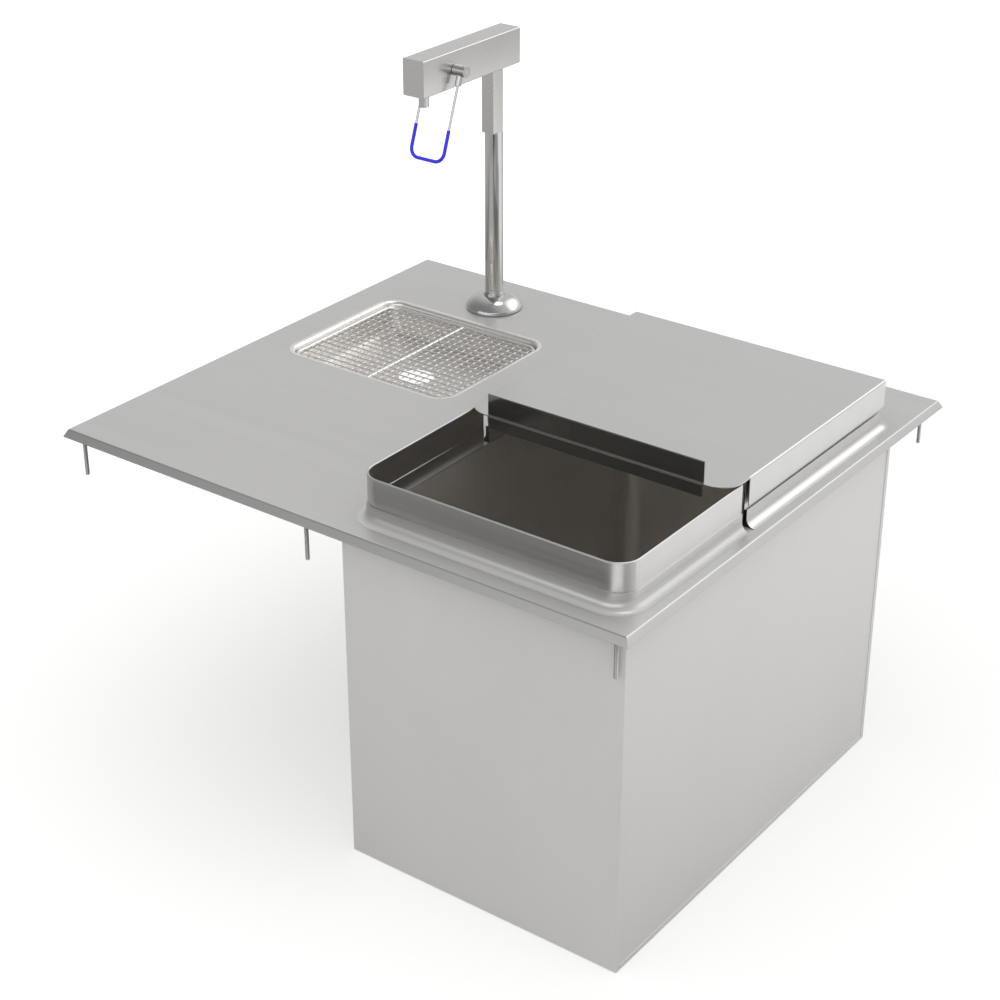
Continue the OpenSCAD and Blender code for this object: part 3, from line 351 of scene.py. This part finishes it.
gasket_edge = 0.0002
gasket = Finish("gasket_rubber")
dust = gasket.noise((180, 180, 180), detail=3.0)
gasket.vary(
    Base_Color=gasket.tint(dust, dark=(0.016, 0.016, 0.016), light=(0.045, 0.044, 0.042)),
    Roughness=0.62 + dust * 0.2,
)
gasket.on("filler_gasket")
ease_edges(gasket_edge, "filler_gasket")

brass_edge = 0.0003
brass = Finish("turned_brass", Metallic=1.0)
turned = brass.noise((30, 30, 900), detail=3.0)
brass.vary(
    Base_Color=brass.tint(turned, dark=(0.50, 0.36, 0.14), light=(0.70, 0.53, 0.24)),
    Roughness=0.26 + turned * 0.16,
    Normal=brass.bump(turned, strength=0.08, distance=0.0003),
)
brass.on("valve_block", "bin_drain_coupling")
ease_edges(brass_edge, "valve_block", "bin_drain_coupling")

# Push lever: a bent stainless wire in two hubs on a shaft, with a blue plastic sleeve where the
# glass touches it. Inside the head a cam on the same shaft pushes the valve stem.
lever_steel_parts = ("push_lever", "lever_shaft", "lever_cam", "valve_stem")
lever_edge, sleeve_edge = 0.0002, 0.0003
drawn_steel = Finish("drawn_steel", Metallic=1.0)
draw_lines = drawn_steel.noise((300, 300, 20), detail=3.0)
drawn_steel.vary(
    Base_Color=drawn_steel.tint(draw_lines, dark=(0.58, 0.575, 0.57), light=(0.72, 0.715, 0.71)),
    Roughness=0.2 + draw_lines * 0.14,
)
drawn_steel.on(*lever_steel_parts)
ease_edges(lever_edge, *lever_steel_parts)

sleeve = Finish("lever_sleeve_blue")
rubbed = sleeve.noise((160, 160, 40), detail=4.0)
sleeve.vary(
    Base_Color=sleeve.tint(rubbed, dark=(0.03, 0.03, 0.85), light=(0.06, 0.06, 1.0)),
    Roughness=0.28 + rubbed * 0.2,
)
sleeve.on("lever_sleeve")
ease_edges(sleeve_edge, "lever_sleeve")

# Under the worktop: pressed channels, spot welded across the open part, and the backing plate that
# spreads the filler's load. Both are plain as rolled, a little blued by welding.
under_steel = Finish("under_steel", Metallic=1.0)
weld_heat = under_steel.noise((30, 30, 30), detail=4.0)
under_steel.vary(
    Base_Color=under_steel.tint(weld_heat, dark=(0.52, 0.515, 0.505), light=(0.66, 0.655, 0.645)),
    Roughness=0.34 + weld_heat * 0.14,
)
under_steel.on("worktop_channels", "backing_plate")
ease_edges(sheet_edge, "worktop_channels", "backing_plate")


# Hold-down studs: seven rolled M5 studs of stainless steel along the worktop's edges. Each hangs
# from a small weld base under the sheet and is threaded almost up to it.
stud_places = [(x, y) for x in (-0.365, -0.03, 0.365) for y in (-0.322, 0.322)] + [(-0.365, 0.0)]
stud_low, stud_high = 0.3655, 0.4205
stud_r, stud_pitch, stud_groove = 0.0024, 0.0008, 0.0004
stud_plain, stud_sides = 0.004, 20
weld_base_r, weld_base_t, weld_base_edge = 0.0035, 0.0012, 0.0003
run_out, sharp_over = 0.3, math.radians(40)


def ring(x, y, z, radius, sides):
    """Points round a vertical axis; radius is a number or a function of the turn from 0 to 1."""
    turns = [side / sides for side in range(sides)]
    reach = [radius(turn) if callable(radius) else radius for turn in turns]
    return [(x + r * math.cos(math.tau * turn), y + r * math.sin(math.tau * turn), z)
            for r, turn in zip(reach, turns)]


def thread(x, y, low, high, radius, pitch, groove, sides, steps=6):
    """Rings of a thread from low to high, which runs out over a turn at each end."""
    rings = []
    for step in range(round((high - low) / pitch * steps) + 1):
        z = low + step * pitch / steps
        cut = groove * max(0.0, min(1.0, (z - low) / pitch, (high - z) / pitch + run_out))
        lead = groove - cut if z - low < pitch else 0.0

        def crest(turn):
            return radius - lead - cut * abs(2 * ((z / pitch - turn) % 1) - 1)

        rings.append(ring(x, y, z, crest, sides))
    return rings


def skin(name, stacks, finish, body, node, loop=False):
    """One smooth piece from stacks of rings, closed with flat ends or, as a loop, through the bore."""
    points, faces = [], []
    for rings in stacks:
        base, sides = len(points), len(rings[0])
        points += [point for row in rings for point in row]
        rows = len(rings)
        for row in range(rows if loop else rows - 1):
            below, above = base + row * sides, base + (row + 1) % rows * sides
            for side in range(sides):
                after = (side + 1) % sides
                faces.append((below + side, below + after, above + after, above + side))
        if not loop:
            faces.append(tuple(range(base + sides - 1, base - 1, -1)))
            faces.append(tuple(range(base + (rows - 1) * sides, base + rows * sides)))
    mesh = bpy.data.meshes.new(name)
    mesh.from_pydata(points, [], faces)
    mesh.shade_smooth()
    mesh.set_sharp_from_angle(angle=sharp_over)
    mesh.materials.append(finish.material)
    piece = bpy.data.objects.new(name, mesh)
    bpy.context.scene.collection.objects.link(piece)
    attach(piece, body)
    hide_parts(node)


studs = []
for x, y in stud_places:
    plain_low = stud_high - stud_plain
    weld_low = stud_high - weld_base_t
    stud_thread = thread(x, y, stud_low, plain_low, stud_r, stud_pitch, stud_groove, stud_sides)
    studs.append(stud_thread + [
        ring(x, y, plain_low, stud_r, stud_sides),
        ring(x, y, weld_low - weld_base_edge, stud_r, stud_sides),
        ring(x, y, weld_low, weld_base_r - weld_base_edge, stud_sides),
        ring(x, y, weld_low + weld_base_edge, weld_base_r, stud_sides),
        ring(x, y, stud_high, weld_base_r, stud_sides),
    ])
skin("threaded_studs", studs, drawn_steel, "unit", "hold_down_studs")

# Supply shank and its locknut: turned brass. The nut clamps the filler to the worktop, and the
# smaller lower end takes the water hose.
shank_x, shank_y = -0.208, 0.25
shank_low, inlet_high, shank_high = 0.36, 0.38, 0.429
inlet_r, shank_r, shank_bore_r = 0.0105, 0.012, 0.0065
inlet_pitch, shank_pitch, brass_groove = 0.0018, 0.0015, 0.0008
inlet_relief, shank_sides = 0.002, 48
relief_low, relief_r = inlet_high - inlet_relief, inlet_r - brass_groove
shank_rings = [
    ring(shank_x, shank_y, shank_low, shank_bore_r, shank_sides),
    *thread(shank_x, shank_y, shank_low, relief_low, inlet_r, inlet_pitch, brass_groove, shank_sides),
    ring(shank_x, shank_y, relief_low, relief_r, shank_sides),
    ring(shank_x, shank_y, inlet_high, relief_r, shank_sides),
    *thread(shank_x, shank_y, inlet_high, shank_high, shank_r, shank_pitch, brass_groove, shank_sides),
    ring(shank_x, shank_y, shank_high, shank_bore_r, shank_sides),
]
skin("shank_with_threads", [shank_rings], brass, "unit", "supply_shank", loop=True)

nut_low, nut_high, nut_bore_r = 0.4105, 0.4185, 0.0121
nut_flat_r, nut_chamfer_r, nut_slope = 0.018, 0.0176, 0.58
nut_sides, chamfer_step, chamfer_steps = 72, 0.00025, 8
hex_turn, hex_half = 60, 30
chamfer_drops = [chamfer_step * step for step in range(chamfer_steps)]


def nut_edge(drop):
    """Reach of the nut's side at a depth below its chamfered face, as a function of the turn."""
    def reach(turn):
        off_flat = math.radians((turn * 360 + hex_half) % hex_turn - hex_half)
        return min(nut_flat_r / math.cos(off_flat), nut_chamfer_r + drop / nut_slope)

    return reach


nut_rings = [ring(shank_x, shank_y, nut_low, nut_bore_r, nut_sides)]
for drop in chamfer_drops:
    nut_rings.append(ring(shank_x, shank_y, nut_low + drop, nut_edge(drop), nut_sides))
for drop in reversed(chamfer_drops):
    nut_rings.append(ring(shank_x, shank_y, nut_high - drop, nut_edge(drop), nut_sides))
nut_rings.append(ring(shank_x, shank_y, nut_high, nut_bore_r, nut_sides))
skin("chamfered_locknut", [nut_rings], brass, "unit", "shank_locknut", loop=True)

# Floor: plain and pale. The camera sees it as white, with the soft shadow that the unit throws. In
# the steel it mirrors as a studio floor: dim at the front left, with a window's light before the
# unit's front corner and a wide bright patch behind it on the right.
floor_half, floor_drop = 14, 0.0005
unit_foot = (0, 0, 0)
shadow_floor, floor_fill = 0.38, 0.12
floor_finish = Finish("pale_floor", Roughness=0.9, Emission_Strength=1.0)
floor_seen = floor_finish.node("LightPath", output="Is Camera Ray")
floor_mirrored = floor_finish.node("LightPath", output="Is Glossy Ray")
spot = floor_finish.node("TexCoord", output="Object")


def glow(middle, inner, outer, level):
    """Light on the floor: nothing at the outer distance from middle, and level at the inner one."""
    away = floor_finish.node("VectorMath", {0: spot, 1: middle}, output="Value", operation="DISTANCE")
    return floor_finish.node("MapRange", {
        "Value": away, "From Min": inner, "From Max": outer, "To Min": level, "To Max": 0.0,
    }, interpolation_type="SMOOTHSTEP")


far_floor = glow(unit_foot, inner=2.0, outer=1.1, level=0.45)
corner_window = glow((0.82, -1.1, 0), inner=0, outer=0.5, level=3.6)
rear_right_patch = glow((1.1, 0.95, 0), inner=0, outer=1.7, level=1.05)
right_patch = glow((2.4, 0, 0), inner=1.1, outer=2.2, level=0.2)
patches = far_floor + corner_window + (rear_right_patch + right_patch)
white_far_off = glow(unit_foot, inner=3.0, outer=0.7, level=0.35) + shadow_floor
floor_light = (floor_seen * white_far_off + floor_mirrored * patches
               + (1.0 - floor_seen - floor_mirrored) * floor_fill)
floor_finish.vary(
    Base_Color=floor_finish.tint(floor_mirrored, dark=(0.8, 0.8, 0.79), light=(0.13, 0.128, 0.125)),
    Emission_Color=floor_finish.tint(floor_light, dark=(0, 0, 0), light=(1, 1, 1)),
)
floor_corners = [(-floor_half, -floor_half, 0), (floor_half, -floor_half, 0),
                 (floor_half, floor_half, 0), (-floor_half, floor_half, 0)]
floor_mesh = bpy.data.meshes.new("floor")
floor_mesh.from_pydata(floor_corners, [], [(0, 1, 2, 3)])
floor_mesh.materials.append(floor_finish.material)
floor = bpy.data.objects.new("floor", floor_mesh)
floor.location.z = -floor_drop
bpy.context.scene.collection.objects.link(floor)


# Light: a pale room that mirrors dim in front of the unit and brighter behind it, with a window at
# the rear right, a small one overhead and low bright walls at the right, and a wide soft lamp.
class Room(Finish):
    """The world round the unit, with the same ways of adding nodes as a finish."""

    def __init__(self, name):
        self.world = bpy.data.worlds.new(name)
        self.world.use_nodes = True
        self.tree = self.world.node_tree
        self.shader = self.tree.nodes["Background"]

    def ramp(self, value, start, end, level=1.0):
        """Light that rises from nothing at the start value to level at the end value."""
        return self.node("MapRange", {
            "Value": value, "From Min": start, "From Max": end, "To Min": 0.0, "To Max": level,
        }, interpolation_type="SMOOTHSTEP")


room = Room("room")
bpy.context.scene.world = room.world
ahead = room.node("TexCoord", output="Generated")
ahead_x = room.node("SeparateXYZ", {"Vector": ahead}, output="X")
ahead_y = room.node("SeparateXYZ", {"Vector": ahead}, output="Y")
ahead_z = room.node("SeparateXYZ", {"Vector": ahead}, output="Z")
room_seen = room.node("LightPath", output="Is Camera Ray")
room_mirrored = room.node("LightPath", output="Is Glossy Ray")

to_rear = ahead_x * 0.3 + ahead_y * 0.8
to_rear_right = ahead_x * 0.6 + ahead_y * 0.8
to_front_right = ahead_x * 0.77 - ahead_y * 0.64
to_rear_window = ahead_x * 0.45 + ahead_y * 0.75 + ahead_z * 0.48
to_top_window = ahead_x * 0.03 + ahead_y * 0.2 + ahead_z * 0.98

dim_wall, wall_slope, room_fill = 0.34, 0.08, 0.57
walls = dim_wall + room.ramp(to_rear, start=-0.5, end=0.35, level=0.36) + to_rear * wall_slope
low_rear_right = room.ramp(to_rear_right, start=0.3, end=0.9, level=0.15)
low_rear_right *= room.ramp(ahead_z, start=0.4, end=0.15)
low_front_right = room.ramp(to_front_right, start=0.04, end=0.26)
low_front_right *= room.ramp(ahead_z, start=0.6, end=0.4)
low_front_right *= room.ramp(ahead_y, start=-0.4, end=-0.7)
rear_window = room.ramp(to_rear_window, start=0.78, end=0.94)
rear_window *= room.ramp(ahead_z, start=0.15, end=0.4)
top_window = room.ramp(to_top_window, start=0.975, end=0.995, level=5.0)
mirror_light = walls + low_rear_right + low_front_right + rear_window + top_window
plain_light = (1 - room_seen - room_mirrored) * room_fill
room.vary(
    Color=(1, 1, 1, 1),
    Strength=room_seen + plain_light + room_mirrored * mirror_light,
)


def soft_lamp(name, place, aim, width, height, watts):
    lamp = bpy.data.lights.new(name, "AREA")
    lamp.shape = "RECTANGLE"
    lamp.size = width
    lamp.size_y = height
    lamp.energy = watts
    holder = bpy.data.objects.new(name, lamp)
    holder.location = place
    holder.rotation_euler = (Vector(aim) - Vector(place)).to_track_quat("-Z", "Y").to_euler()
    bpy.context.scene.collection.objects.link(holder)
    return holder


lamp_above = soft_lamp("lamp_above", place=(-0.2, -0.5, 4.0), aim=(0, 0, 0.4),
                       width=6.0, height=6.0, watts=80)
lamp_above.visible_glossy = False

# Camera: at the photograph's viewing angle, fitted to the straight edges of the worktop, the
# coaming and the jacket.
camera_place = Vector((1.3064, -1.7799, 1.4726))
camera_aim = Vector((0.1179, -0.1769, 0.422))
lens = bpy.data.cameras.new("camera")
lens.lens = 76.09
lens.sensor_width = 36
lens.sensor_fit = "HORIZONTAL"
lens.clip_end = 60
camera = bpy.data.objects.new("camera", lens)
camera.location = camera_place
camera.rotation_euler = (camera_aim - camera_place).to_track_quat("-Z", "Y").to_euler()
bpy.context.scene.collection.objects.link(camera)
bpy.context.scene.camera = camera
bpy.context.scene.view_settings.view_transform = "Standard"
